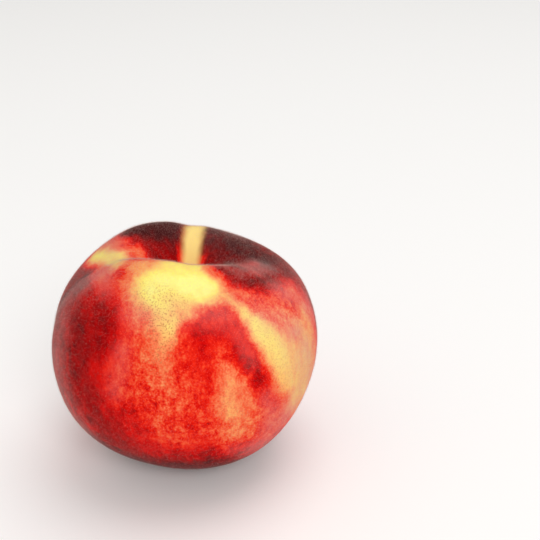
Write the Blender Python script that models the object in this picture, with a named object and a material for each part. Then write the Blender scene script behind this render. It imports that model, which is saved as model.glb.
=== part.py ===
# White nectarine: one whole fruit that rests on a small flat spot at its blossom end.
# Metres, +Z up. The origin is on the resting surface, under the middle of the fruit.
# The deep end of the suture is towards -X, and the fuller cheek is towards -Y.

from math import atan2, cos, exp, hypot, pi, radians, sin, sqrt

import bmesh
import bpy

MM = 0.001

# Half of the fruit's outline, before it is made uneven, as the (radius, height) control
# points of a smooth curve from the stem socket, over the crown, to the blossom end.
OUTLINE = [
    (0.0 * MM, 51.0 * MM),    # middle of the stem socket's floor
    (1.7 * MM, 51.0 * MM),
    (2.7 * MM, 52.6 * MM),
    (3.2 * MM, 55.0 * MM),    # mouth of the socket
    (5.4 * MM, 57.8 * MM),
    (8.3 * MM, 63.6 * MM),    # wall of the stem cavity
    (16.1 * MM, 67.5 * MM),   # crown
    (23.7 * MM, 62.0 * MM),
    (33.1 * MM, 55.6 * MM),   # shoulder
    (38.6 * MM, 38.8 * MM),   # widest part of the cheeks
    (35.6 * MM, 21.4 * MM),
    (25.7 * MM, 7.7 * MM),
    (12.6 * MM, 0.3 * MM),
    (8.0 * MM, 0.0 * MM),     # ring that the fruit rests on
    (4.5 * MM, 0.0 * MM),
    (2.4 * MM, 0.8 * MM),
    (0.0 * MM, 1.0 * MM),     # middle of the blossom end's dimple
]
CHEEK_RADIUS = 38.0 * MM
DEPTH_RATIO = 0.96            # front to back over side to side

# Facets: steps round the axis, and the longest step along the outline.
TURN_STEPS = 96
RING_STEP = 2.6 * MM

# The valley that the suture makes across the crown, deep towards -X, shallow towards +X.
SUTURE_ANGLE = radians(181.0)
DEEP_END_DEPTH = 6.6 * MM
DEEP_END_REACH = 28.3 * MM
SHALLOW_END_DEPTH = 2.4 * MM
SHALLOW_END_REACH = 25.8 * MM
VALLEY_HALF_WIDTH = 9.2 * MM
VALLEY_INNER_RADIUS = 9.0 * MM
END_BLEND = 6.0 * MM          # from one end's form to the other's

# The groove of the suture itself, from the crown down the -X side to the blossom end.
SUTURE_DEPTH = 0.6 * MM
SUTURE_HALF_WIDTH = 3.5 * MM
SUTURE_START = 10.0 * MM

# The shallow groove that the twig pressed across the crown, from front to back.
TWIG_GROOVE_X = 2.0 * MM
TWIG_GROOVE_DEPTH_BACK = 0.8 * MM
TWIG_GROOVE_DEPTH_FRONT = 0.5 * MM
TWIG_GROOVE_HALF_WIDTH = 3.2 * MM
TWIG_GROOVE_RADIUS = 17.0 * MM
TWIG_GROOVE_HALF_LENGTH = 9.0 * MM

# The crown rises at the front cheek and towards -X, and leans a little.
CROWN_RADIUS = 17.0 * MM
CROWN_HALF_WIDTH = 11.0 * MM
FRONT_RISE = 2.1 * MM
SIDE_RISE = 3.2 * MM
CROWN_LEAN_X = 0.7 * MM
CROWN_LEAN_Y = -0.8 * MM
CROWN_HEIGHT = 67.0 * MM
CROWN_FOOT = 30.0 * MM        # the crown's forms fade in from this height
CROWN_FADE = 20.0 * MM        # over this height

# The lower half is fuller at the back and slightly three-sided.
LOWER_HALF_TOP = 34.0 * MM
BACK_FULLNESS = 0.024
THREE_SIDED = 0.046
THREE_SIDED_ANGLE = radians(69.0)
LOWER_HALF_GAIN = 4.0

REST_TRIM = 0.15 * MM         # height pressed flat where the fruit rests


def bell(distance, half_width):
    """Fall smoothly from 1 at no distance to nearly 0 past the half width."""
    return exp(-(distance / half_width) ** 2)


def smooth_step(value):
    """Rise smoothly from 0 to 1 as the value goes from 0 to 1."""
    value = min(max(value, 0.0), 1.0)
    return value * value * (3.0 - 2.0 * value)


def curve_point(control, t):
    """Give a point of one span of a uniform cubic B-spline from its four control points."""
    weights = ((1 - t) ** 3, 3 * t ** 3 - 6 * t ** 2 + 4, 1 + 3 * t + 3 * t ** 2 - 3 * t ** 3, t ** 3)
    radius = sum(weight * point[0] for weight, point in zip(weights, control)) / 6
    height = sum(weight * point[1] for weight, point in zip(weights, control)) / 6
    return max(radius, 0.0), height


def outline_points():
    """Walk along the outline in steps of about RING_STEP, at least two to a span."""
    first, second = OUTLINE[0], OUTLINE[1]
    last, before_last = OUTLINE[-1], OUTLINE[-2]
    control = [(-second[0], second[1])] + OUTLINE + [(-before_last[0], before_last[1])]
    points = [(0.0, curve_point(control[0:4], 0.0)[1])]
    for span in range(len(control) - 3):
        corners = control[span:span + 4]
        start, end = curve_point(corners, 0.0), curve_point(corners, 1.0)
        length = hypot(end[0] - start[0], end[1] - start[1])
        steps = max(2, round(length / RING_STEP))
        points += [curve_point(corners, step / steps) for step in range(1, steps + 1)]
    return points


def lower_half_scale(radius, height, angle):
    """Scale the radius of the lower half, which isn't quite round."""
    lowness = LOWER_HALF_GAIN * max(1.0 - height / LOWER_HALF_TOP, 0.0) ** 2
    lowness *= (radius / CHEEK_RADIUS) ** 2
    three_sided = THREE_SIDED * cos(3 * (angle - THREE_SIDED_ANGLE))
    return 1.0 + lowness * (BACK_FULLNESS * sin(angle) + three_sided)


def valley_depth(radius, along, across, deep_share):
    """Depth of the valley at a place given along and across the suture."""
    deep_end = DEEP_END_DEPTH * exp(-(abs(along) / DEEP_END_REACH) ** 4)
    shallow_end = SHALLOW_END_DEPTH * exp(-(abs(along) / SHALLOW_END_REACH) ** 4)
    depth = deep_share * deep_end + (1 - deep_share) * shallow_end
    return depth * (1 - bell(radius, VALLEY_INNER_RADIUS)) * bell(across, VALLEY_HALF_WIDTH)


def twig_groove_depth(x, y):
    """Depth of the groove that the twig left on both sides of the stem cavity."""
    depth = TWIG_GROOVE_DEPTH_BACK if y > 0 else TWIG_GROOVE_DEPTH_FRONT
    depth *= bell(x - TWIG_GROOVE_X, TWIG_GROOVE_HALF_WIDTH)
    return depth * bell(abs(y) - TWIG_GROOVE_RADIUS, TWIG_GROOVE_HALF_LENGTH)


def skin_point(point):
    """Move a point of the round outline to its place on the uneven fruit."""
    radius, height, angle = hypot(point.x, point.y), point.z, atan2(point.y, point.x)
    radius *= lower_half_scale(radius, height, angle)
    x = radius * cos(angle)
    y = radius * sin(angle) * DEPTH_RATIO

    along = x * cos(SUTURE_ANGLE) + y * sin(SUTURE_ANGLE)
    across = y * cos(SUTURE_ANGLE) - x * sin(SUTURE_ANGLE)
    deep_share = 0.5 + 0.5 * along / sqrt(along ** 2 + END_BLEND ** 2)
    crown = smooth_step((height - CROWN_FOOT) / CROWN_FADE)

    z = height - crown * valley_depth(radius, along, across, deep_share)
    rise = FRONT_RISE * max(-sin(angle), 0.0) ** 2 - SIDE_RISE * cos(angle)
    z += crown * rise * bell(radius - CROWN_RADIUS, CROWN_HALF_WIDTH)

    groove = SUTURE_DEPTH * bell(across, SUTURE_HALF_WIDTH) * deep_share ** 2
    groove *= min(radius / SUTURE_START, 1.0) ** 2
    pull = 1.0 - groove / max(radius, SUTURE_START)
    x, y = x * pull, y * pull

    z -= crown * twig_groove_depth(x, y)
    lean = min(max(z / CROWN_HEIGHT, 0.0), 1.0) ** 2
    return x + CROWN_LEAN_X * lean, y + CROWN_LEAN_Y * lean, max(z - REST_TRIM, 0.0)


def skin_material():
    """Give the fruit one plain finish: deep red, matt with down."""
    material = bpy.data.materials.new("skin")
    material.use_nodes = True
    shader = material.node_tree.nodes["Principled BSDF"]
    shader.inputs["Base Color"].default_value = (0.51, 0.052, 0.028, 1.0)
    shader.inputs["Roughness"].default_value = 0.6
    shader.inputs["Metallic"].default_value = 0.0
    return material


def fruit():
    """Spin the outline round the axis, make it uneven, and stand it over the origin."""
    bm = bmesh.new()
    rings = [bm.verts.new((radius, 0.0, height)) for radius, height in outline_points()]
    edges = [bm.edges.new(pair) for pair in zip(rings, rings[1:])]
    bmesh.ops.spin(
        bm, geom=rings + edges, cent=(0, 0, 0), axis=(0, 0, 1), angle=2 * pi, steps=TURN_STEPS
    )
    bmesh.ops.remove_doubles(bm, verts=bm.verts, dist=0.001 * MM)
    for vert in bm.verts:
        vert.co = skin_point(vert.co)

    xs = [vert.co.x for vert in bm.verts]
    ys = [vert.co.y for vert in bm.verts]
    middle = ((min(xs) + max(xs)) / 2, (min(ys) + max(ys)) / 2, 0.0)
    bmesh.ops.translate(bm, verts=bm.verts, vec=[-place for place in middle])
    bmesh.ops.recalc_face_normals(bm, faces=bm.faces)

    mesh = bpy.data.meshes.new("fruit")
    bm.to_mesh(mesh)
    bm.free()
    mesh.shade_smooth()
    mesh.materials.append(skin_material())
    bpy.context.collection.objects.link(bpy.data.objects.new("fruit", mesh))


for thing in list(bpy.data.objects):
    bpy.data.objects.remove(thing, do_unlink=True)
fruit()
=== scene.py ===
import math

import bpy
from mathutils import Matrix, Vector


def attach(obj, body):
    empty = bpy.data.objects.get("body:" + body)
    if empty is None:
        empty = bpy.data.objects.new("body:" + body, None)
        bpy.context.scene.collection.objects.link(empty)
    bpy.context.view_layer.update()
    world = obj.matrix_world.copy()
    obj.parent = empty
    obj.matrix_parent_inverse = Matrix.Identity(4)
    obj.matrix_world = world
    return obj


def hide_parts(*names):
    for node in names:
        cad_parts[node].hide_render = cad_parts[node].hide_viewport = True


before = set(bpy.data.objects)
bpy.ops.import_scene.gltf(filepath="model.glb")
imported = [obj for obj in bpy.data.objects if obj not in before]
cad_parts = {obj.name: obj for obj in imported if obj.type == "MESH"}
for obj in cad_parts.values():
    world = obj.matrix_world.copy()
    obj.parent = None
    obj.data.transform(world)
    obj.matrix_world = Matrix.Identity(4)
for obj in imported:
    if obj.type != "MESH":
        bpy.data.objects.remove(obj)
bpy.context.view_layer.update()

# A white nectarine: its solid dressed in a coloured skin, with its two scars and its down

print("frame loaded")

mm = 0.001
core = Vector((0.0, 0.0, 34 * mm))     # middle of the fruit, from which turn and lift are counted


# Node trees

class Wire:
    # One output in a node tree. Sums of wires and numbers add Math nodes.
    def __init__(self, tree, socket=None):
        self.tree = tree
        self.socket = socket

    # Any node: its settings first, then its inputs by name or number
    def node(self, kind, settings=None, inputs=None, output=0):
        made = self.tree.nodes.new(kind)
        for name, value in (settings or {}).items():
            if name == "stops":
                self.setStops(made.color_ramp, value)
            else:
                setattr(made, name, value)
        for name, value in (inputs or {}).items():
            if isinstance(value, Wire):
                value.into(made.inputs[name])
            else:
                made.inputs[name].default_value = value
        return Wire(self.tree, None if output is None else made.outputs[output])

    def into(self, socket):
        self.tree.links.new(self.socket, socket)

    def setStops(self, ramp, stops):
        while len(ramp.elements) < len(stops):
            ramp.elements.new(1.0)
        for element, (place, shade) in zip(ramp.elements, stops):
            element.position = place
            element.color = shade

    def maths(self, operation, *values):
        inputs = dict(enumerate((self,) + values))
        return self.node("ShaderNodeMath", {"operation": operation}, inputs)

    def reflected(self, operation, first):
        inputs = {0: first, 1: self}
        return self.node("ShaderNodeMath", {"operation": operation}, inputs)

    def __add__(self, other):
        return self.maths("ADD", other)

    def __radd__(self, other):
        return self.reflected("ADD", other)

    def __sub__(self, other):
        return self.maths("SUBTRACT", other)

    def __rsub__(self, other):
        return self.reflected("SUBTRACT", other)

    def __mul__(self, other):
        return self.maths("MULTIPLY", other)

    def __rmul__(self, other):
        return self.reflected("MULTIPLY", other)

    def __truediv__(self, other):
        return self.maths("DIVIDE", other)

    def __rtruediv__(self, other):
        return self.reflected("DIVIDE", other)

    # 0 below low and 1 above high, smooth between. With low above high it falls.
    def ease(self, low, high):
        inputs = {"Value": self, "From Min": low, "From Max": high}
        settings = {"interpolation_type": "SMOOTHSTEP", "clamp": False}
        return self.node("ShaderNodeMapRange", settings, inputs)

    # Kept between 0 and 1. A node's own clamp setting would fill the renderer's room for this many marks.
    def clamped(self):
        return self.maths("MAXIMUM", 0.0).maths("MINIMUM", 1.0)

    def vector(self, operation, *values, output=0):
        inputs = dict(enumerate((self,) + values))
        return self.node("ShaderNodeVectorMath", {"operation": operation}, inputs, output)

    def scaled(self, factor):
        return self.node("ShaderNodeVectorMath", {"operation": "SCALE"}, {0: self, "Scale": factor})

    # Move from this number towards another by a share
    def towards(self, other, share):
        return self + (other - self) * share

    # A colour mix: this where share is 0, other where it is 1
    def mixed(self, other, share):
        settings = {"data_type": "RGBA", "clamp_factor": True}
        return self.node("ShaderNodeMix", settings, {0: share, 6: self, 7: other}, output=2)

    def noise(self, scale, detail, roughness, output=0):
        inputs = {"Vector": self, "Scale": scale, "Detail": detail, "Roughness": roughness}
        return self.node("ShaderNodeTexNoise", None, inputs, output)

    # The colour on a ramp at this number
    def shaded(self, stops):
        return self.node("ShaderNodeValToRGB", {"stops": stops}, {0: self})

    # A normal pushed in and out by this height
    def bump(self, strength, distance):
        inputs = {"Strength": strength, "Distance": distance, "Height": self}
        return self.node("ShaderNodeBump", None, inputs)


# A colour given as it looks on a screen, 0 to 255
def colour(red, green, blue):
    channels = [value / 255 for value in (red, green, blue)]
    linear = [c / 12.92 if c <= 0.04045 else ((c + 0.055) / 1.055) ** 2.4 for c in channels]
    return (*linear, 1.0)


# A material, with what is the same all over it set on its shader's own sockets
def newMaterial(name, finish):
    made = bpy.data.materials.new(name)
    made.use_nodes = True
    shader = made.node_tree.nodes["Principled BSDF"]
    for socket, value in finish.items():
        shader.inputs[socket].default_value = value
    return made, shader, Wire(made.node_tree)


# Point on a ball of radius 1 round the core, by its turn from the front and its lift, in degrees
def towardsSkin(turn, lift):
    turn, lift = math.radians(turn), math.radians(lift)
    return Vector((math.sin(turn) * math.cos(lift), -math.cos(turn) * math.cos(lift), math.sin(lift)))


# Steps that the pieces share

def selectOnly(piece):
    bpy.ops.object.select_all(action="DESELECT")
    bpy.context.view_layer.objects.active = piece
    piece.select_set(True)


def startEdit(piece):
    selectOnly(piece)
    bpy.ops.object.mode_set(mode="EDIT")
    bpy.ops.mesh.select_all(action="SELECT")


def finishModifiers(piece):
    selectOnly(piece)
    for modifier in list(piece.modifiers):
        bpy.ops.object.modifier_apply(modifier=modifier.name)


# Puts a piece's place into its mesh
def settlePlace():
    bpy.ops.object.transform_apply(location=True, rotation=False, scale=False)


# A copy of a piece, without its materials and the notes that the frame keeps on it
def copyOf(piece, name):
    selectOnly(piece)
    bpy.ops.object.duplicate()
    copied = bpy.context.object
    copied.name = name
    copied.data.materials.clear()
    for note in list(copied.keys()):
        del copied[note]
    return copied


# Camera, light and floor

cameraSetup = {
    "lens": 60.0,                    # mm
    "sensor": 36.0,                  # mm, the width of Blender's own
    "clipStart": 10 * mm,
    "distance": 258.5 * mm,          # from the lens to the core
    "lookDown": 26.1,                # degrees below level
    "frameSide": 540.0,              # pixels of the photograph's frame
    "corePixel": (185.4, 345.6),     # where the core, moved by its offset, shows in that frame
    "coreOffset": (-0.4 * mm, 0.2 * mm, 0.0),
}


def addCamera(setup):
    bpy.ops.object.select_all(action="DESELECT")
    bpy.ops.object.camera_add()
    camera = bpy.context.object
    camera.name = "camera"
    camera.data.lens = setup["lens"]
    camera.data.clip_start = setup["clipStart"]
    # The core's place in the frame, in units of depth
    pixels = setup["lens"] / setup["sensor"] * setup["frameSide"]
    across, down = ((pixel - setup["frameSide"] / 2) / pixels for pixel in setup["corePixel"])
    # The camera stands straight in front of the core and turns to the side until the core shows there
    tilt = math.radians(setup["lookDown"])
    side = math.atan2(-across, math.cos(tilt) - down * math.sin(tilt))
    forward = Vector((math.sin(side) * math.cos(tilt), math.cos(side) * math.cos(tilt), -math.sin(tilt)))
    right = Vector((math.cos(side), -math.sin(side), 0.0))
    up = right.cross(forward)
    ray = (forward + across * right - down * up).normalized()
    camera.location = core + Vector(setup["coreOffset"]) - setup["distance"] * ray
    camera.rotation_euler = forward.to_track_quat("-Z", "Y").to_euler()
    bpy.context.scene.camera = camera


stageSetup = {
    "floorSide": 6.0,
    "floorFinish": {"Base Color": colour(252, 251, 250), "Roughness": 0.9, "Specular IOR Level": 0.1},
    "sky": {"Color": colour(250, 249, 247), "Strength": 0.62},
    "lamps": [
        # place from the core in mm, size in mm, power in W
        {"name": "topSoftbox", "place": (430, 200, 2000), "side": 1600, "power": 12.5},
        {"name": "frontSoftbox", "place": (250, -1100, 800), "side": 700, "power": 6.4},
    ],
}


def addStage(setup):
    bpy.ops.object.select_all(action="DESELECT")
    bpy.ops.mesh.primitive_plane_add(size=setup["floorSide"])
    floor = bpy.context.object
    floor.name = "floor"
    floor.data.materials.append(newMaterial("floorPaper", setup["floorFinish"])[0])

    world = bpy.data.worlds.new("studio")
    world.use_nodes = True
    for socket, value in setup["sky"].items():
        world.node_tree.nodes["Background"].inputs[socket].default_value = value
    bpy.context.scene.world = world

    for lamp in setup["lamps"]:
        place = core + Vector(lamp["place"]) * mm
        bpy.ops.object.light_add(type="AREA", location=place)
        light = bpy.context.object
        light.name = lamp["name"]
        light.data.shape = "DISK"
        light.data.size = lamp["side"] * mm
        light.data.energy = lamp["power"]
        light.rotation_euler = (core - place).to_track_quat("-Z", "Y").to_euler()
    bpy.context.scene.view_settings.view_transform = "Standard"


addCamera(cameraSetup)
addStage(stageSetup)
print("camera, light and floor set")


# Skin: the solid's own form, made smooth and given its fine unevenness

skinSetup = {
    "mergeWithin": 0.002 * mm,
    "squareWithin": math.radians(60),    # how far two triangles may turn and skew to make one square
    "seam": {"height": 36 * mm, "reach": 0.3 * mm, "margin": 0.005},
    "subdivisions": 2,
    "dents": {"size": 9 * mm, "height": 0.25 * mm},
    "pores": {"size": 1.6 * mm, "height": 0.03 * mm},
}


def addSubdivision(piece, levels):
    smooth = piece.modifiers.new("smooth", "SUBSURF")
    smooth.levels = levels
    smooth.render_levels = levels


def addUnevenness(piece, name, size, height):
    texture = bpy.data.textures.new(name, "CLOUDS")
    texture.noise_scale = size
    modifier = piece.modifiers.new(name, "DISPLACE")
    modifier.texture = texture
    modifier.texture_coords = "LOCAL"
    modifier.strength = height


# A UV map for the export, in two round patches that meet at a level seam round the cheeks
def flattenSkin(skin, height, reach, margin):
    mesh = skin.data
    ring = min((vert.co.z for vert in mesh.vertices), key=lambda level: abs(level - height))
    for edge in mesh.edges:
        low, high = sorted(mesh.vertices[index].co.z for index in edge.vertices)
        edge.use_seam = abs(high - ring) < reach and high - low < reach
    mesh.uv_layers.new(name="OFBake")
    startEdit(skin)
    bpy.ops.uv.unwrap(method="ANGLE_BASED", margin=margin)
    bpy.ops.object.mode_set(mode="OBJECT")


def makeSkin(setup):
    skin = copyOf(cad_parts["fruit"], "skin")
    startEdit(skin)
    bpy.ops.mesh.remove_doubles(threshold=setup["mergeWithin"])
    bpy.ops.mesh.tris_convert_to_quads(face_threshold=setup["squareWithin"],
                                       shape_threshold=setup["squareWithin"])
    bpy.ops.object.mode_set(mode="OBJECT")
    flattenSkin(skin, **setup["seam"])

    addSubdivision(skin, setup["subdivisions"])
    addUnevenness(skin, "dents", **setup["dents"])
    addUnevenness(skin, "pores", **setup["pores"])
    finishModifiers(skin)
    for vert in skin.data.vertices:
        vert.co.z = max(vert.co.z, 0.0)     # pressed flat where it rests
    bpy.ops.object.shade_smooth()
    return skin


skin = makeSkin(skinSetup)
print("skin made:", len(skin.data.polygons), "faces")


# Skin colours

# Screen colours from bare yellow ground to the deepest red, by redness
blushStops = [
    (0.00, colour(251, 246, 142)),
    (0.10, colour(252, 234, 118)),
    (0.22, colour(249, 208, 116)),
    (0.34, colour(247, 170, 102)),
    (0.45, colour(243, 130, 84)),
    (0.56, colour(240, 86, 52)),
    (0.66, colour(234, 38, 20)),
    (0.76, colour(210, 8, 6)),
    (0.86, colour(160, 4, 6)),
    (0.94, colour(108, 8, 12)),
    (1.00, colour(66, 16, 18)),
]

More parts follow.
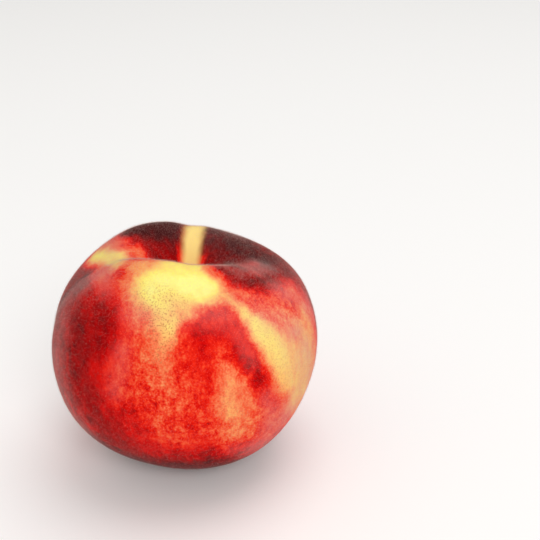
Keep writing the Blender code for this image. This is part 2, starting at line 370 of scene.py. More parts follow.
# Marks painted one over the other: from and to as (turn, lift) degrees, half widths at both ends
# and soft edge in degrees, the redness painted and how strongly
blushMarks = [
    # Far half and sides, which the photograph doesn't show, in the same manner
    {"from": (150, 20), "to": (150, -30), "wide": (22, 16), "edge": 30, "paint": 0.55, "share": 0.7},
    {"from": (-150, 35), "to": (-140, -10), "wide": (24, 20), "edge": 26, "paint": 0.93, "share": 0.8},
    {"from": (-175, 10), "to": (175, -45), "wide": (14, 20), "edge": 24, "paint": 0.70, "share": 0.8},
    {"from": (112, 30), "to": (108, -20), "wide": (18, 14), "edge": 24, "paint": 0.84, "share": 0.8},
    # Left cheek
    {"from": (-60, 20), "to": (-62, -15), "wide": (14, 12), "edge": 26, "paint": 0.86, "share": 0.9},
    {"from": (-88, 46), "to": (-84, -10), "wide": (16, 10), "edge": 22, "paint": 0.93, "share": 0.9},
    {"from": (-60, 35), "to": (-51, 22), "wide": (4, 4), "edge": 13, "paint": 0.91, "share": 0.9},
    {"from": (-43, 37), "to": (-41, 27), "wide": (6, 5), "edge": 15, "paint": 0.89, "share": 0.95},
    {"from": (-52, 12), "to": (-37, -20), "wide": (7.5, 9), "edge": 14, "paint": 0.885, "share": 0.9},
    {"from": (-40, 14), "to": (-34, -4), "wide": (2.5, 3), "edge": 9, "paint": 0.83, "share": 0.8},
    {"from": (-27, 38), "to": (-29, 12), "wide": (3, 5), "edge": 14, "paint": 0.62, "share": 0.9},
    {"from": (-36, 38), "to": (-35, 29), "wide": (1.5, 1.5), "edge": 8, "paint": 0.87, "share": 0.7},
    {"from": (-36, 8), "to": (-34, 1), "wide": (1.5, 1.5), "edge": 7, "paint": 0.82, "share": 0.5},
    # Lower front and lower right
    {"from": (-10, 14), "to": (-2, -8), "wide": (12, 13), "edge": 22, "paint": 0.61, "share": 0.9},
    {"from": (18, -12), "to": (46, -12), "wide": (9, 10), "edge": 20, "paint": 0.57, "share": 0.9},
    {"from": (-1, -2), "to": (5, -16), "wide": (3, 4), "edge": 10, "paint": 0.74, "share": 0.8},
    {"from": (20, -22), "to": (36, -34), "wide": (4, 7), "edge": 10, "paint": 0.78, "share": 0.9},
    {"from": (33, -12), "to": (40, -24), "wide": (3, 4), "edge": 10, "paint": 0.67, "share": 0.7},
    {"from": (-32, -23), "to": (6, -25), "wide": (4, 5), "edge": 13, "paint": 0.84, "share": 0.9},
    {"from": (-10, 8), "to": (-9, -6), "wide": (2.5, 2.5), "edge": 9, "paint": 0.55, "share": 0.8},
    # Deepest red round the base and underneath: the skin's own deep red, darkened further by painted shade
    # where the fruit rests on the floor
    {"from": (-55, -33), "to": (8, -45), "wide": (12, 15), "edge": 16, "paint": 0.93, "share": 1.0},
    {"from": (0, -86), "to": (180, -86), "wide": (46, 46), "edge": 18, "paint": 0.97, "share": 0.9},
    # Right side
    {"from": (64, 34), "to": (62, -10), "wide": (13, 14), "edge": 20, "paint": 0.48, "share": 1.0},
    {"from": (60, 18), "to": (60, -6), "wide": (8, 8), "edge": 16, "paint": 0.30, "share": 0.9},
    {"from": (90, 42), "to": (94, 10), "wide": (12.5, 12), "edge": 16, "paint": 0.90, "share": 0.9},
    {"from": (44, 36.5), "to": (62, 32), "wide": (3.8, 5), "edge": 9, "paint": 0.64, "share": 0.95},
    # Far wall of the cavity
    {"from": (-150, 74), "to": (175, 78), "wide": (9, 9), "edge": 10, "paint": 0.88, "share": 1.0},
    {"from": (-150, 58), "to": (-172, 62), "wide": (16, 10), "edge": 14, "paint": 1.0, "share": 1.0},
    {"from": (140, 58), "to": (98, 52), "wide": (18, 13), "edge": 22, "paint": 0.985, "share": 1.0},
    {"from": (140, 76), "to": (110, 72), "wide": (3, 3), "edge": 8, "paint": 0.88, "share": 0.9},
    {"from": (85, 60), "to": (60, 60), "wide": (9, 6), "edge": 10, "paint": 0.96, "share": 1.0},
    # Left end of the valley
    {"from": (-116, 52), "to": (-108, 63), "wide": (7, 4), "edge": 10, "paint": 0.60, "share": 1.0},
    {"from": (-122, 74), "to": (-110, 69), "wide": (2, 1.5), "edge": 7, "paint": 0.82, "share": 0.9},
    {"from": (-109, 64.8), "to": (-119, 69), "wide": (1.6, 1.8), "edge": 5, "paint": 0.91, "share": 0.9},
    {"from": (-100, 67), "to": (-87, 69), "wide": (2.8, 3), "edge": 7, "paint": 0.47, "share": 0.9},
    {"from": (-124, 62), "to": (-162, 67), "wide": (4.5, 6), "edge": 7, "paint": 1.0, "share": 1.0},
    {"from": (-120, 75), "to": (-172, 79), "wide": (4, 4), "edge": 8, "paint": 0.88, "share": 1.0},
    {"from": (-62, 50), "to": (-44, 52), "wide": (4, 3), "edge": 10, "paint": 0.60, "share": 0.9},
    {"from": (-84, 50), "to": (-60, 50), "wide": (4, 3), "edge": 9, "paint": 0.56, "share": 0.9},
    {"from": (-104, 47.5), "to": (-88, 58), "wide": (4.8, 5), "edge": 9, "paint": 0.12, "share": 1.0},
    {"from": (-88, 58), "to": (-60, 59), "wide": (4.8, 3.8), "edge": 8, "paint": 0.13, "share": 1.0},
    {"from": (-60, 60), "to": (-44, 61), "wide": (2, 2), "edge": 7, "paint": 0.40, "share": 0.9},
    # Deep red border of the light band across the far crown, and a paler strip low on the far wall
    {"from": (177, 34), "to": (171, 52), "wide": (1, 4.8), "edge": 6, "paint": 0.84, "share": 0.8},
    {"from": (171, 50), "to": (155, 79), "wide": (5.2, 6.2), "edge": 5, "paint": 0.86, "share": 0.9},
    {"from": (126, 75), "to": (-178, 77), "wide": (1.4, 1.6), "edge": 5, "paint": 0.46, "share": 0.8},
    # Upper right: coral, and dark below the crest
    {"from": (36, 45), "to": (56, 34), "wide": (3, 6), "edge": 11, "paint": 0.60, "share": 0.9},
    {"from": (68, 57), "to": (80, 53), "wide": (3, 3.5), "edge": 9, "paint": 0.76, "share": 0.8},
    {"from": (42, 50.5), "to": (66, 45.5), "wide": (4.5, 6), "edge": 12, "paint": 0.91, "share": 1.0},
    {"from": (30, 49.5), "to": (40, 45), "wide": (2, 2.5), "edge": 6, "paint": 0.50, "share": 0.9},
    {"from": (50, 30), "to": (55, 19), "wide": (4, 4), "edge": 10, "paint": 0.44, "share": 0.9},
    # Yellow crown patch on the near cheek, with its pink left border and its dark right one
    {"from": (-36, 52), "to": (-25, 38), "wide": (4.4, 3), "edge": 11, "paint": 0.58, "share": 0.9},
    {"from": (-18, 55), "to": (8, 57), "wide": (10, 9), "edge": 15, "paint": 0.22, "share": 1.0},
    {"from": (-16.5, 54), "to": (13, 53), "wide": (6.6, 6.5), "edge": 11, "paint": 0.0, "share": 1.0},
    {"from": (-38, 61), "to": (-16, 65), "wide": (3, 3), "edge": 6, "paint": 0.34, "share": 0.9},
    {"from": (-40, 67), "to": (-10, 69), "wide": (3, 3.5), "edge": 6, "paint": 0.48, "share": 0.9},
    {"from": (-12, 64.5), "to": (14, 64), "wide": (3.5, 4.5), "edge": 7, "paint": 0.10, "share": 0.9},
    {"from": (22, 62), "to": (24, 58), "wide": (2.5, 2.5), "edge": 6, "paint": 0.54, "share": 1.0},
    {"from": (33, 61), "to": (42, 53), "wide": (3, 3.6), "edge": 6, "paint": 0.90, "share": 1.0},
    # Peach column below it
    {"from": (-14, 47), "to": (-9, 38), "wide": (6.5, 5.5), "edge": 12, "paint": 0.14, "share": 1.0},
    {"from": (-21, 51.5), "to": (-18, 46), "wide": (1.5, 1), "edge": 6, "paint": 0.03, "share": 0.8},
    {"from": (-2, 46), "to": (2, 43), "wide": (3, 3), "edge": 9, "paint": 0.22, "share": 0.9},
    {"from": (-20, 40), "to": (-18, 22), "wide": (3, 3), "edge": 11, "paint": 0.53, "share": 1.0},
    {"from": (-11, 39), "to": (-10, 30), "wide": (3.5, 2.5), "edge": 11, "paint": 0.26, "share": 0.9},
    {"from": (-12, 28), "to": (-9, 14), "wide": (3.5, 3), "edge": 12, "paint": 0.48, "share": 0.9},
    # Red arch
    {"from": (11, 37), "to": (20, 39), "wide": (2.5, 3), "edge": 8, "paint": 0.64, "share": 1.0},
    {"from": (-1, 36), "to": (-1, 27), "wide": (2, 2), "edge": 8, "paint": 0.60, "share": 0.9},
    {"from": (4, 33), "to": (5, 22), "wide": (4.3, 3.3), "edge": 9, "paint": 0.735, "share": 1.0},
    {"from": (3, 21), "to": (4, 14), "wide": (3.5, 3.5), "edge": 9, "paint": 0.65, "share": 0.8},
    {"from": (12, 33), "to": (20, 31), "wide": (4, 4), "edge": 9, "paint": 0.68, "share": 1.0},
    {"from": (20, 34), "to": (25, 18), "wide": (2.4, 2.4), "edge": 8, "paint": 0.70, "share": 1.0},
    {"from": (5, 35), "to": (15, 35.5), "wide": (2, 2.4), "edge": 8, "paint": 0.83, "share": 1.0},
    {"from": (21, 27), "to": (25, 19), "wide": (1.5, 1.5), "edge": 7, "paint": 0.84, "share": 1.0},
    {"from": (28, 16), "to": (32, 5), "wide": (1.8, 2.2), "edge": 8, "paint": 0.84, "share": 1.0},
    {"from": (33, 5), "to": (36, -6), "wide": (3.1, 3.4), "edge": 10, "paint": 0.65, "share": 0.9},
    # Orange window inside the arch
    {"from": (13.5, 24.5), "to": (15, 16), "wide": (2, 2.5), "edge": 9, "paint": 0.50, "share": 0.9},
    {"from": (16, 15), "to": (17, 5), "wide": (4.5, 5), "edge": 11, "paint": 0.42, "share": 1.0},
    {"from": (16, 3), "to": (21, -10), "wide": (5.5, 6.5), "edge": 12, "paint": 0.45, "share": 1.0},
    {"from": (22, 14), "to": (26, 0), "wide": (2.5, 3), "edge": 9, "paint": 0.46, "share": 0.9},
    {"from": (15, 12), "to": (17, 0), "wide": (1, 1.5), "edge": 8, "paint": 0.35, "share": 0.9},
    # Yellow streak beside the arch
    {"from": (24, 48), "to": (31, 40), "wide": (1.8, 2.2), "edge": 6, "paint": 0.28, "share": 1.0},
    {"from": (31.5, 39), "to": (36, 30), "wide": (2.8, 4.6), "edge": 8, "paint": 0.17, "share": 1.0},
    {"from": (36.5, 30), "to": (41, 20), "wide": (4.2, 5.4), "edge": 9, "paint": 0.14, "share": 1.0},
    {"from": (42, 20), "to": (45, 9), "wide": (6.2, 7.2), "edge": 11, "paint": 0.19, "share": 1.0},
    {"from": (49, 8), "to": (54, -6), "wide": (7, 6), "edge": 13, "paint": 0.28, "share": 1.0},
]

# Light band across the far crown, where a twig shaded the skin
bandMarks = [
    {"from": (177, 34), "to": (170, 52), "wide": (0.2, 3.8), "edge": 5, "paint": 0.7, "share": 1.0},
    {"from": (167, 50), "to": (154, 79), "wide": (4.0, 5.2), "edge": 5, "paint": 0.98, "share": 1.0},
]

# Where the skin stays green, round the stem's socket, and brown, round the blossom's end
greenMarks = [
    {"from": (90, 87), "to": (-90, 86), "wide": (5, 5), "edge": 7, "paint": 1.0, "share": 1.0},
]
brownMarks = [
    {"from": (0, -89), "to": (0, -87), "wide": (2.2, 2.2), "edge": 4, "paint": 1.0, "share": 1.0},
]

# Where the skin is flecked rather than evenly coloured, in the same form
fleckMarks = [
    {"from": (-16, 8), "to": (14, -20), "wide": (14, 16), "edge": 20, "paint": 0.9, "share": 1.0},
    {"from": (40, 44), "to": (58, 34), "wide": (6, 8), "edge": 12, "paint": 1.0, "share": 1.0},
    {"from": (-62, 18), "to": (-50, -24), "wide": (7, 10), "edge": 16, "paint": 0.7, "share": 1.0},
    {"from": (27, 18), "to": (38, -26), "wide": (3, 9), "edge": 10, "paint": 0.9, "share": 1.0},
    {"from": (150, 10), "to": (160, -30), "wide": (20, 20), "edge": 20, "paint": 0.8, "share": 1.0},
]

# Where the down's sheen is painted into the colour as a grey-pink veil: painted sheen for the down seen
# edge-on and lit at the rims, partly the down's own grey
downAndSheenMarks = [
    {"from": (92, 22), "to": (84, -24), "wide": (20, 20), "edge": 30, "paint": 0.6, "share": 1.0},
    {"from": (-104, 24), "to": (-104, -30), "wide": (28, 28), "edge": 40, "paint": 0.5, "share": 1.0},
    {"from": (-24, 44), "to": (26, 42), "wide": (8, 8), "edge": 12, "paint": 0.5, "share": 1.0},
    {"from": (40, 34), "to": (60, 4), "wide": (8, 10), "edge": 14, "paint": 0.9, "share": 1.0},
    {"from": (-28, 28), "to": (-31, 10), "wide": (2.5, 2.5), "edge": 9, "paint": 0.5, "share": 1.0},
    {"from": (-71, 14), "to": (-64, -24), "wide": (7, 9), "edge": 22, "paint": 1.05, "share": 1.0},
    {"from": (-82, 42), "to": (-73, 22), "wide": (6, 6), "edge": 18, "paint": 0.8, "share": 1.0},
    {"from": (-66, 52), "to": (-50, 48), "wide": (3.5, 3.5), "edge": 12, "paint": 0.5, "share": 1.0},
    {"from": (-116, 52), "to": (-88, 57), "wide": (5, 4), "edge": 12, "paint": 0.9, "share": 1.0},
    {"from": (-80, 38), "to": (-60, 54), "wide": (6, 4), "edge": 10, "paint": 1.0, "share": 1.0},
    {"from": (44, 57), "to": (66, 55), "wide": (2.5, 3), "edge": 7, "paint": 0.5, "share": 1.0},
    {"from": (66, 54), "to": (84, 50), "wide": (4, 5.5), "edge": 9, "paint": 1.15, "share": 1.0},
    {"from": (23, 33), "to": (28, 20), "wide": (2.5, 2), "edge": 8, "paint": 0.5, "share": 1.0},
    {"from": (57, 22), "to": (62, -4), "wide": (4, 6), "edge": 10, "paint": 1.5, "share": 1.0},
    {"from": (33, 2), "to": (40, -14), "wide": (2, 8), "edge": 12, "paint": 0.75, "share": 1.0},
    {"from": (22, -24), "to": (34, -32), "wide": (4, 6), "edge": 10, "paint": 0.5, "share": 1.0},
    {"from": (54, -10), "to": (38, -28), "wide": (8, 8), "edge": 16, "paint": 1.1, "share": 1.0},
    {"from": (62, 40), "to": (75, 24), "wide": (5, 6), "edge": 10, "paint": 1.0, "share": 1.0},
    {"from": (160, 40), "to": (150, -30), "wide": (22, 24), "edge": 40, "paint": 0.6, "share": 1.0},
]

# Where dark specks stand in the pale skin
speckMarks = [
    {"from": (-15, 47), "to": (-10, 20), "wide": (10, 9), "edge": 13, "paint": 1.0, "share": 1.0},
    {"from": (0, 8), "to": (20, -14), "wide": (16, 14), "edge": 16, "paint": 0.5, "share": 1.0},
    {"from": (24, 46), "to": (36, 34), "wide": (5, 5), "edge": 10, "paint": 0.4, "share": 1.0},
    {"from": (34, 34), "to": (46, 4), "wide": (6, 9), "edge": 12, "paint": 0.45, "share": 1.0},
    {"from": (60, 22), "to": (60, -4), "wide": (6, 8), "edge": 12, "paint": 0.35, "share": 1.0},
    {"from": (32, 8), "to": (38, -28), "wide": (4, 8), "edge": 12, "paint": 0.9, "share": 1.0},
]

# Each noise is its scale, detail and roughness
skinLook = {
    # What makes a mark's edge wander, and how far: a broad wobble, and a ragged one a millimetre across
    "broadEdge": {"noise": (4.5, 3.0, 0.55), "reach": 0.08},
    "raggedEdge": {"noise": (26.0, 3.0, 0.6), "reach": 0.05},
    "baseRedness": 0.76,
    "drift": {"noise": (3.0, 3.0, 0.5), "reach": 0.14},
    "suture": {"turn": -89, "halfWidth": 0.045, "fade": (0.1, 0.5), "redness": 0.05},
    # Blotches of a few millimetres, a finer mottle, upright streaks and a fine grain: how much of each
    # shows all over, how much more on half red skin, and on flecked skin
    "patterns": {
        "blotches": {"noise": (9.0, 3.0, 0.6), "allOver": 0.14, "onHalf": 0.12, "onFlecked": 0.12},
        "mottle": {"noise": (21.0, 3.0, 0.65), "allOver": 0.10, "onHalf": 0.22, "onFlecked": 0.24},
        "streaks": {"noise": (24.0, 2.0, 0.5), "allOver": 0.13, "onHalf": 0.09, "onFlecked": 0.0},
        "grain": {"noise": (70.0, 2.0, 0.5), "allOver": 0.04, "onHalf": 0.34, "onFlecked": 0.06},
    },
    "streakStretch": (1.0, 1.0, 0.3),           # a low last number makes the streaks long
    "half": {"redness": 0.58, "fall": 2.6},     # half red skin, and how soon it ends either side of that
    # Reddish brown specks, less than half a millimetre across, on the paler skin
    "specks": {"noise": (96.0, 1.0, 0.5), "rise": (0.54, 0.63), "fromRed": (0.72, 0.40),
               "fromYellow": (0.0, 0.14), "share": 0.6, "colour": colour(186, 82, 46)},
    # The down's sheen painted into the colour, partly its own grey: its patches, their least and most, its
    # share and colour
    "downAndSheen": {"noise": (5.0, 3.0, 0.6), "least": 0.2, "more": 1.6, "share": 0.26,
             "colour": colour(198, 162, 156)},
    "band": colour(253, 225, 138),
    "green": colour(190, 178, 88),
    "brown": colour(104, 62, 40),
    "tintShare": 0.8,
    "bump": {"strength": 0.25, "distance": 0.05 * mm},
    "finish": {"Roughness": 0.62, "Specular IOR Level": 0.02, "Sheen Weight": 0.27,
               "Sheen Roughness": 0.25, "Sheen Tint": colour(214, 180, 174)},
}


def paintMark(amount, direction, mark):
    start = towardsSkin(*mark["from"])
    end = towardsSkin(*mark["to"])
    along = end - start
    perLength = along / along.length_squared
    fromStart = direction.vector("SUBTRACT", start)
    share = fromStart.vector("DOT_PRODUCT", perLength, output=1).clamped()
    nearest = share.node("ShaderNodeVectorMath", {"operation": "SCALE"}, {0: along, "Scale": share})
    gap = fromStart.vector("SUBTRACT", nearest).vector("LENGTH", output=1)
    startWide, endWide = (math.radians(width) for width in mark["wide"])
    edge = math.radians(mark["edge"])
    outside = gap - (share * (endWide - startWide) + startWide)
    mask = outside.ease(edge / 2, -edge / 2) * mark["share"]
    return amount.towards(mark["paint"], mask)


def paintMarks(amount, direction, marksToPaint):
    for mark in marksToPaint:
        amount = paintMark(amount, direction, mark)
    return amount


# How strongly a list of marks covers each place, from 0
def coverOf(direction, marksToPaint):
    nothing = direction.node("ShaderNodeValue")
    nothing.socket.default_value = 0.0
    return paintMarks(nothing, direction, marksToPaint)


# A direction moved a little, differently at each place of the ball
def wandered(direction, ball, edge):
    shift = ball.noise(*edge["noise"], output=1).vector("SUBTRACT", (0.5, 0.5, 0.5))
    return direction.vector("ADD", shift.scaled(edge["reach"]))


# The suture shows as a thin darker line down its own side
def sutureLine(ball, direction, suture):
    onItsSide = ball.vector("DOT_PRODUCT", towardsSkin(suture["turn"], 0), output=1).ease(*suture["fade"])
    across = towardsSkin(suture["turn"] + 90, 0)
    offLine = direction.vector("DOT_PRODUCT", across, output=1).maths("ABSOLUTE")
    return offLine.ease(suture["halfWidth"], 0.0) * onItsSide * suture["redness"]


def skinRedness(ball, direction, look):
    drift = look["drift"]
    redness = ball.noise(*drift["noise"]) * drift["reach"] + (look["baseRedness"] - drift["reach"] / 2)
    redness = paintMarks(redness, direction, blushMarks)
    return redness + sutureLine(ball, direction, look["suture"])


# The patterns of unevenness, each between -0.5 and 0.5
def skinPatterns(ball, look):
    upright = ball.vector("MULTIPLY", look["streakStretch"])
    return {name: (upright if name == "streaks" else ball).noise(*pattern["noise"]) - 0.5
            for name, pattern in look["patterns"].items()}


# The patterns laid over the redness
def unevenRedness(redness, flecked, patterns, look):
    half = (1.0 - (redness - look["half"]["redness"]).maths("ABSOLUTE") * look["half"]["fall"]).clamped()
    uneven = redness
    for name, pattern in look["patterns"].items():
        amount = pattern["allOver"] + pattern["onHalf"] * half + pattern["onFlecked"] * flecked
        uneven = uneven + patterns[name] * amount
    return uneven


# Specks keep to skin that is neither red nor bare yellow
def speckCover(ball, redness, specked, specks):
    pale = redness.ease(*specks["fromRed"]) * redness.ease(*specks["fromYellow"]) * specked
    return ball.noise(*specks["noise"]).ease(*specks["rise"]) * pale * specks["share"]


# The down's painted sheen, partly its own grey, lies in patches
def downAndSheenCover(ball, direction, downAndSheen):
    patches = ball.noise(*downAndSheen["noise"]) * downAndSheen["more"] + downAndSheen["least"]
    return coverOf(direction, downAndSheenMarks) * patches * downAndSheen["share"]


def skinMaterial(look):
    material, shader, start = newMaterial("downySkin", look["finish"])
    place = start.node("ShaderNodeTexCoord", output=3)     # Object coordinates
    ball = place.vector("SUBTRACT", core).vector("NORMALIZE")
    smoothly = wandered(ball, ball, look["broadEdge"])
    direction = wandered(smoothly, ball, look["raggedEdge"])

    redness = skinRedness(ball, direction, look)
    patterns = skinPatterns(ball, look)
    uneven = unevenRedness(redness, coverOf(direction, fleckMarks), patterns, look)
    specked = speckCover(ball, redness, coverOf(direction, speckMarks), look["specks"])
    downAndSheenShare = downAndSheenCover(ball, direction, look["downAndSheen"])

    base = uneven.shaded(blushStops)
    # Specks, then the down's painted sheen, partly its own grey, as a grey-pink veil
    base = base.mixed(look["specks"]["colour"], specked).mixed(look["downAndSheen"]["colour"], downAndSheenShare)
    base = base.mixed(look["band"], coverOf(smoothly, bandMarks))
    base = base.mixed(look["green"], coverOf(direction, greenMarks) * look["tintShare"])
    base = base.mixed(look["brown"], coverOf(direction, brownMarks) * look["tintShare"])
    base.into(shader.inputs["Base Color"])
    (patterns["grain"] + patterns["mottle"]).bump(**look["bump"]).into(shader.inputs["Normal"])
    return material


skin.data.materials.append(skinMaterial(skinLook))
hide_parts("fruit")
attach(skin, "root")
print("skin coloured with", len(blushMarks), "marks")


# Scars: a corky disc where the stem broke off, and the dried tip of the blossom underneath

stemScarSetup = {
    "floor": (45 * mm, 53 * mm, 2 * mm),     # heights that the socket's floor lies between, and how far out
    "corners": 36,
    "radius": 2.6 * mm,
    "sunk": 0.5 * mm,            # below the socket's floor
    "height": 1.1 * mm,
    "rings": [(0.30 * mm, 0.20 * mm), (0.35 * mm, -0.50 * mm), (0.45 * mm, -0.10 * mm),
              (0.30 * mm, 0.45 * mm), (0.45 * mm, 0.10 * mm)],     # width and rise, from the rim inwards
    "subdivisions": 2,
    "rough": {"size": 0.45 * mm, "height": 0.34 * mm},
}
blossomTipSetup = {
    "floor": (0.0, 2 * mm, 2 * mm),          # the same for the dimple
    "corners": 14,
    "radius": 0.9 * mm,
    "tipRadius": 0.3 * mm,
    "length": 0.8 * mm,
    "sunk": 0.35 * mm,
    "subdivisions": 2,
    "rough": {"size": 0.35 * mm, "height": 0.16 * mm},
}
scarLook = {
    "stops": [(0.15, colour(66, 42, 28)), (0.42, colour(128, 88, 56)), (0.75, colour(184, 148, 104))],
    "fibres": {"noise": (9.0, 2.0, 0.6), "twist": 60.0, "share": 0.8},       # streaks round the disc
    "crumbs": {"noise": (2600.0, 3.0, 0.6), "share": 0.6},
    "darker": 0.16,
    "furrowShade": {"outer": (0.85, 0.7), "inner": (0.42, 0.6), "share": 0.35},   # places as shares of the radius
    "pitShade": {"edge": (0.22, 0.05), "share": 0.2},
    "bump": {"strength": 0.5, "distance": 0.1 * mm},
    "finish": {"Roughness": 0.85, "Specular IOR Level": 0.15},
}


# Middle of the skin's floor close to the axis, in the socket above or the dimple below
def skinOnAxis(skin, lowest, highest, reach):
    near = [vert.co for vert in skin.data.vertices
            if lowest < vert.co.z < highest and math.hypot(vert.co.x, vert.co.y) < reach]
    return sum(near, Vector()) / len(near)


# Turns the faces outwards, leaves edit mode and makes the surface rough
def finishScar(scar, setup, name):
    bpy.ops.mesh.normals_make_consistent(inside=False)
    bpy.ops.object.mode_set(mode="OBJECT")
    scar.name = name
    addSubdivision(scar, setup["subdivisions"])
    addUnevenness(scar, name + "Rough", **setup["rough"])
    finishModifiers(scar)
    bpy.ops.object.shade_smooth()
    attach(scar, "root")


def makeStemScar(setup, floor):
    bpy.ops.object.select_all(action="DESELECT")
    bpy.ops.mesh.primitive_circle_add(vertices=setup["corners"], radius=setup["radius"], fill_type="NGON",
                                      location=floor - Vector((0, 0, setup["sunk"])))
    scar = bpy.context.object
    settlePlace()
    startEdit(scar)
    bpy.ops.mesh.extrude_region_move(TRANSFORM_OT_translate={"value": (0, 0, setup["height"])})
    for width, rise in setup["rings"]:
        bpy.ops.mesh.inset(thickness=width, depth=rise)
    bpy.ops.mesh.poke()
    bpy.ops.mesh.select_all(action="SELECT")
    finishScar(scar, setup, "stemScar")
    return scar


def makeBlossomTip(setup, floor):
    bpy.ops.object.select_all(action="DESELECT")
    middle = floor + Vector((0, 0, setup["sunk"] - setup["length"] / 2))
    bpy.ops.mesh.primitive_cone_add(vertices=setup["corners"], radius1=setup["tipRadius"],
                                    radius2=setup["radius"], depth=setup["length"], location=middle)
    tip = bpy.context.object
    settlePlace()
    startEdit(tip)
    bpy.ops.mesh.subdivide(number_cuts=1)
    finishScar(tip, setup, "blossomTip")
    return tip


# Dry fibres that run out from the middle, with painted shade darkening them in the sunken ring and the
# hollow at the middle
def scarMaterial(name, look, middle, radius):
    material, shader, start = newMaterial(name, look["finish"])
    fibres, crumbs, furrowShade, pitShade = (look[part] for part in ("fibres", "crumbs", "furrowShade", "pitShade"))
    place = start.node("ShaderNodeTexCoord", output=3).vector("SUBTRACT", middle)
    level = place.vector("MULTIPLY", (1.0, 1.0, 0.0))
    outward = level.vector("LENGTH", output=1) / radius
    strands = level.vector("NORMALIZE").vector("ADD", place.scaled(fibres["twist"])).noise(*fibres["noise"])
    tone = strands * fibres["share"] + place.noise(*crumbs["noise"]) * crumbs["share"] - look["darker"]
    # Painted shade: darker in the sunken ring and at the middle
    tone = tone - furrowShade["share"] * (outward.ease(*furrowShade["outer"]) * outward.ease(*furrowShade["inner"]))
    tone = tone - pitShade["share"] * outward.ease(*pitShade["edge"])
    tone.shaded(look["stops"]).into(shader.inputs["Base Color"])
    tone.bump(**look["bump"]).into(shader.inputs["Normal"])
    return material


socketFloor = skinOnAxis(skin, *stemScarSetup["floor"])
dimpleFloor = skinOnAxis(skin, *blossomTipSetup["floor"])
stemScar = makeStemScar(stemScarSetup, socketFloor)
stemScar.data.materials.append(scarMaterial("corkyScar", scarLook, socketFloor, stemScarSetup["radius"]))
blossomTip = makeBlossomTip(blossomTipSetup, dimpleFloor)
blossomTip.data.materials.append(scarMaterial("driedTip", scarLook, dimpleFloor, blossomTipSetup["radius"]))
print("stem scar at", round(socketFloor.z / mm, 2), "mm, blossom tip at", round(dimpleFloor.z / mm, 2), "mm")


# Down: short stiff hairs over the whole skin, too fine to see singly, which grey it at its edges

downSetup = {
    "pieces": "ABCD",            # a letter for each, and each is spread over the whole fruit
    "hairsEach": 47000,          # as many as if the foot were full
    "sides": 3,
    "length": 0.42 * mm,
    "thickness": 0.019 * mm,
    "bend": 0.10,                # how far the tip leans, over the length
    "lean": (3, 32),             # degrees off the skin's normal
    "size": (0.5, 1.15),
    "bareBelow": 1.0 * mm,       # none where the fruit rests
    "foot": (8 * mm, 32 * mm),   # between these heights it grows up to its full density
    "footDensity": 0.12,
    "crown": (55 * mm, 64 * mm),     # between these heights it grows denser and longer
    "crownDensity": 2.0,
    "crownLength": 1.25,
    "seed": 21,
    "seedStep": 10,              # from piece to piece
    "finish": {"Base Color": colour(226, 190, 178), "Roughness": 0.7, "Specular IOR Level": 0.1},
}


def makeHair(setup):
    length, radius = setup["length"], setup["thickness"] / 2
    bpy.ops.object.select_all(action="DESELECT")
    bpy.ops.mesh.primitive_cone_add(vertices=setup["sides"], radius1=radius, radius2=0, depth=length,
                                    location=(0, 0, length / 2))
    hair = bpy.context.object
    hair.name = "hair"
    settlePlace()
    startEdit(hair)
    bpy.ops.mesh.select_all(action="DESELECT")
    bpy.ops.object.mode_set(mode="OBJECT")
    for vert in hair.data.vertices:
        vert.select = vert.co.z > length / 2
    bpy.ops.object.mode_set(mode="EDIT")
    bpy.ops.transform.translate(value=(length * setup["bend"], 0, 0))
    bpy.ops.object.mode_set(mode="OBJECT")
    bpy.ops.object.shade_smooth()
    return hair


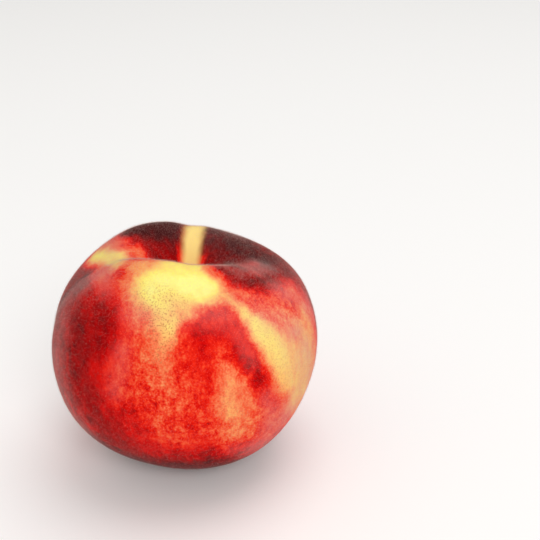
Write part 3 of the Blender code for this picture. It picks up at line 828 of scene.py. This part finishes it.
# The modifier that stands a hair on each of many random places of the skin
def downScatter(hair, setup, density, seed):
    tree = bpy.data.node_groups.new("downScatter", "GeometryNodeTree")
    tree.interface.new_socket("Geometry", in_out="INPUT", socket_type="NodeSocketGeometry")
    tree.interface.new_socket("Geometry", in_out="OUTPUT", socket_type="NodeSocketGeometry")
    start = Wire(tree)
    surface = start.node("NodeGroupInput")
    position = start.node("GeometryNodeInputPosition")
    height = start.node("ShaderNodeSeparateXYZ", None, {0: position}, output=2)
    crown = height.ease(*setup["crown"])
    foot = 1.0 - height.ease(*setup["foot"])
    thickness = 1.0 + (setup["crownDensity"] - 1.0) * crown + (setup["footDensity"] - 1.0) * foot
    places = start.node("GeometryNodeDistributePointsOnFaces", None, {
        "Mesh": surface, "Density": density * thickness, "Seed": seed,
        "Selection": height.maths("GREATER_THAN", setup["bareBelow"])})
    upright = Wire(tree, places.socket.node.outputs["Rotation"])

    def chance(low, high, step):
        inputs = {2: low, 3: high, "Seed": seed + step}
        return start.node("FunctionNodeRandomValue", {"data_type": "FLOAT"}, inputs, output=1)

    def turned(rotation, axis, angle):
        euler = start.node("ShaderNodeCombineXYZ", None, {axis: angle})
        by = start.node("FunctionNodeEulerToRotation", None, {0: euler})
        return start.node("FunctionNodeRotateRotation", {"rotation_space": "LOCAL"}, {0: rotation, 1: by})

    leanLow, leanHigh = (math.radians(angle) for angle in setup["lean"])
    standing = turned(upright, 2, chance(0.0, math.tau, 1))
    standing = turned(standing, 0, chance(leanLow, leanHigh, 2))
    size = chance(*setup["size"], 3) * (1.0 + (setup["crownLength"] - 1.0) * crown)
    hairs = start.node("GeometryNodeInstanceOnPoints", None, {
        "Points": places, "Rotation": standing, "Scale": size,
        "Instance": start.node("GeometryNodeObjectInfo", None, {"Object": hair}, output="Geometry")})
    real = start.node("GeometryNodeRealizeInstances", None, {0: hairs})
    start.node("NodeGroupOutput", None, {0: real}, output=None)
    return tree


def growDown(skin, setup):
    hair = makeHair(setup)
    material = newMaterial("paleDown", setup["finish"])[0]
    hair.data.materials.append(material)
    # Hairs to the square metre, counting the denser crown as more skin
    crownMiddle = sum(setup["crown"]) / 2
    crownArea = sum(face.area for face in skin.data.polygons if face.center.z > crownMiddle)
    area = sum(face.area for face in skin.data.polygons) + (setup["crownDensity"] - 1.0) * crownArea
    density = setup["hairsEach"] / area
    for number, letter in enumerate(setup["pieces"]):
        down = copyOf(skin, "down" + letter)
        scatter = down.modifiers.new("scatter", "NODES")
        scatter.node_group = downScatter(hair, setup, density, setup["seed"] + setup["seedStep"] * number)
        finishModifiers(down)
        down.data.materials.clear()
        down.data.materials.append(material)
        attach(down, "root")
        print(down.name, "grown:", len(down.data.polygons), "faces")
    bpy.data.objects.remove(hair)


growDown(skin, downSetup)
